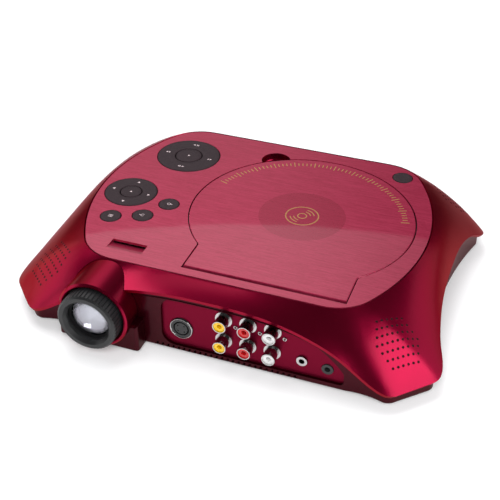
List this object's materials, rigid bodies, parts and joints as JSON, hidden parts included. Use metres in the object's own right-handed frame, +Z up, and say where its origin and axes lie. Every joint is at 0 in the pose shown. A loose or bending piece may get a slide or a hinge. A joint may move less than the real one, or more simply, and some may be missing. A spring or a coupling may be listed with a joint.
{
  "type": "video projector with disc player",
  "caption": "Low table-top video projector with a hinged disc lid, ring keys, a focusing lens and phono jacks on the front, on flared feet.",
  "frame": {"origin": "on the floor under the middle of the bounding box", "axes": "+Z up, the lens looks towards -Y, the disc lid opens from the rear, +X to the right seen from the lens side"},
  "size_m": [0.283, 0.2344, 0.0505],
  "materials": {
    "aluminium": "mill finish",
    "black_rubber": "matt moulded rubber",
    "ceramic": "off-white lamp ceramic",
    "chrome": "nickel plated",
    "circuit_board": "green solder mask",
    "dark_plastic": "fine moulded",
    "deck_paint": "fine brushed satin crimson lacquer over moulded plastic",
    "glass": "coated optical glass",
    "key_plastic": "satin charcoal",
    "lens_plastic": "satin black",
    "mirror_coat": "vacuum coated",
    "red_plastic": "moulded",
    "shell_paint": "metallic crimson lacquer over moulded plastic",
    "steel": "zinc plated",
    "white_plastic": "moulded",
    "yellow_plastic": "moulded"
  },
  "bodies": {
    "housing": {"upper_shell": "shell_paint", "lower_shell": "shell_paint", "front_wall": "shell_paint", "side_walls": "shell_paint", "rear_wall": "shell_paint", "lens_hood": "shell_paint", "jack_panel": "shell_paint", "deck_panel": "deck_paint", "rubber_feet": "black_rubber", "case_screws": "steel", "disc_well": "dark_plastic", "drive_chassis": "dark_plastic", "guide_rods": "steel", "spindle_motor": "steel", "key_board": "circuit_board", "key_domes": "black_rubber", "card_socket": "steel", "lens_barrel": "lens_plastic", "lcd_frame": "lens_plastic", "lcd_panel": "glass", "condenser_lens": "glass", "lamp_reflector": "mirror_coat", "light_stands": "aluminium", "lamp": "glass", "lamp_socket": "ceramic", "heat_sink": "aluminium", "fan_frame": "dark_plastic", "rca_shells": "chrome", "rca_inserts_yellow": "yellow_plastic", "rca_inserts_red": "red_plastic", "rca_inserts_white": "white_plastic", "din_socket": "dark_plastic", "phone_jack": "chrome", "av_jack": "dark_plastic", "jack_board": "circuit_board", "power_inlet": "dark_plastic", "main_board": "circuit_board", "board_capacitors": "dark_plastic", "speakers": "dark_plastic"},
    "lid": {"disc_lid": "deck_paint", "lid_hinge_pins": "steel"},
    "focus_ring": {"focus_ring": "lens_plastic"},
    "lens_cell": {"lens_cell": "lens_plastic", "front_glass": "glass", "rear_glass": "glass"},
    "ring_cradle_large": {"ring_cradle_large": "dark_plastic"},
    "ring_key_large": {"ring_key_large": "key_plastic"},
    "ring_cradle_small": {"ring_cradle_small": "dark_plastic"},
    "ring_key_small": {"ring_key_small": "key_plastic"},
    "centre_button_large": {"centre_button_large": "key_plastic"},
    "centre_button_small": {"centre_button_small": "key_plastic"},
    "menu_key": {"menu_key": "key_plastic"},
    "source_key": {"source_key": "key_plastic"},
    "zoom_key": {"zoom_key": "key_plastic"},
    "power_key": {"power_key": "key_plastic"},
    "turntable": {"turntable": "dark_plastic"},
    "pickup_sled": {"pickup_sled": "dark_plastic", "pickup_lens": "glass"},
    "fan_rotor": {"fan_rotor": "dark_plastic"}
  },
  "joints": [
    {"name": "lid_hinge", "type": "hinge", "parent": "housing", "child": "lid", "pos_m": [0.0287, -0.06797, 0.0454], "axis": [1, 0, 0], "range_deg": [0, 80]},
    {"name": "focus_turn", "type": "hinge", "parent": "housing", "child": "focus_ring", "pos_m": [-0.068, -0.11718, 0.0263], "axis": [0, 1, 0], "range_deg": [-60.05, 60.05]},
    {"name": "focus_slide", "type": "slide", "parent": "housing", "child": "lens_cell", "axis": [0, 1, 0], "range_m": [-0.0015, 0.0015]},
    {"name": "ring_large_pitch", "type": "hinge", "parent": "housing", "child": "ring_cradle_large", "pos_m": [-0.0727, 0.05672, 0.04455], "axis": [1, 0, 0], "range_deg": [-1.5, 1.5], "stiffness_Nm_per_rad": 0.5},
    {"name": "ring_large_roll", "type": "hinge", "parent": "ring_cradle_large", "child": "ring_key_large", "pos_m": [-0.0727, 0.05672, 0.04455], "axis": [0, 1, 0], "range_deg": [-1.5, 1.5], "stiffness_Nm_per_rad": 0.5},
    {"name": "centre_large_press", "type": "slide", "parent": "housing", "child": "centre_button_large", "axis": [0, 0, 1], "range_m": [-0.0007, 0], "stiffness_N_per_m": 300},
    {"name": "ring_small_pitch", "type": "hinge", "parent": "housing", "child": "ring_cradle_small", "pos_m": [-0.0903, -0.00347, 0.04455], "axis": [1, 0, 0], "range_deg": [-1.5, 1.5], "stiffness_Nm_per_rad": 0.5},
    {"name": "ring_small_roll", "type": "hinge", "parent": "ring_cradle_small", "child": "ring_key_small", "pos_m": [-0.0903, -0.00347, 0.04455], "axis": [0, 1, 0], "range_deg": [-1.5, 1.5], "stiffness_Nm_per_rad": 0.5},
    {"name": "centre_small_press", "type": "slide", "parent": "housing", "child": "centre_button_small", "axis": [0, 0, 1], "range_m": [-0.0007, 0], "stiffness_N_per_m": 300},
    {"name": "menu_key_press", "type": "slide", "parent": "housing", "child": "menu_key", "axis": [0, 0, 1], "range_m": [-0.0007, 0], "stiffness_N_per_m": 300},
    {"name": "source_key_press", "type": "slide", "parent": "housing", "child": "source_key", "axis": [0, 0, 1], "range_m": [-0.0007, 0], "stiffness_N_per_m": 300},
    {"name": "zoom_key_press", "type": "slide", "parent": "housing", "child": "zoom_key", "axis": [0, 0, 1], "range_m": [-0.0007, 0], "stiffness_N_per_m": 300},
    {"name": "power_key_press", "type": "slide", "parent": "housing", "child": "power_key", "axis": [0, 0, 1], "range_m": [-0.0007, 0], "stiffness_N_per_m": 300},
    {"name": "spindle_turn", "type": "hinge", "parent": "housing", "child": "turntable", "pos_m": [0.0287, 0.00882, 0.037], "axis": [0, 0, 1], "continuous": true},
    {"name": "sled_slide", "type": "slide", "parent": "housing", "child": "pickup_sled", "axis": [0, 1, 0], "range_m": [-0.0065, 0.022]},
    {"name": "fan_turn", "type": "hinge", "parent": "housing", "child": "fan_rotor", "pos_m": [-0.1186, 0.02032, 0.0198], "axis": [1, 0, 0], "continuous": true}
  ],
  "couplings": [
    {"joint": "focus_turn", "follows": "focus_slide", "rad_per_m": 698.13}
  ]
}
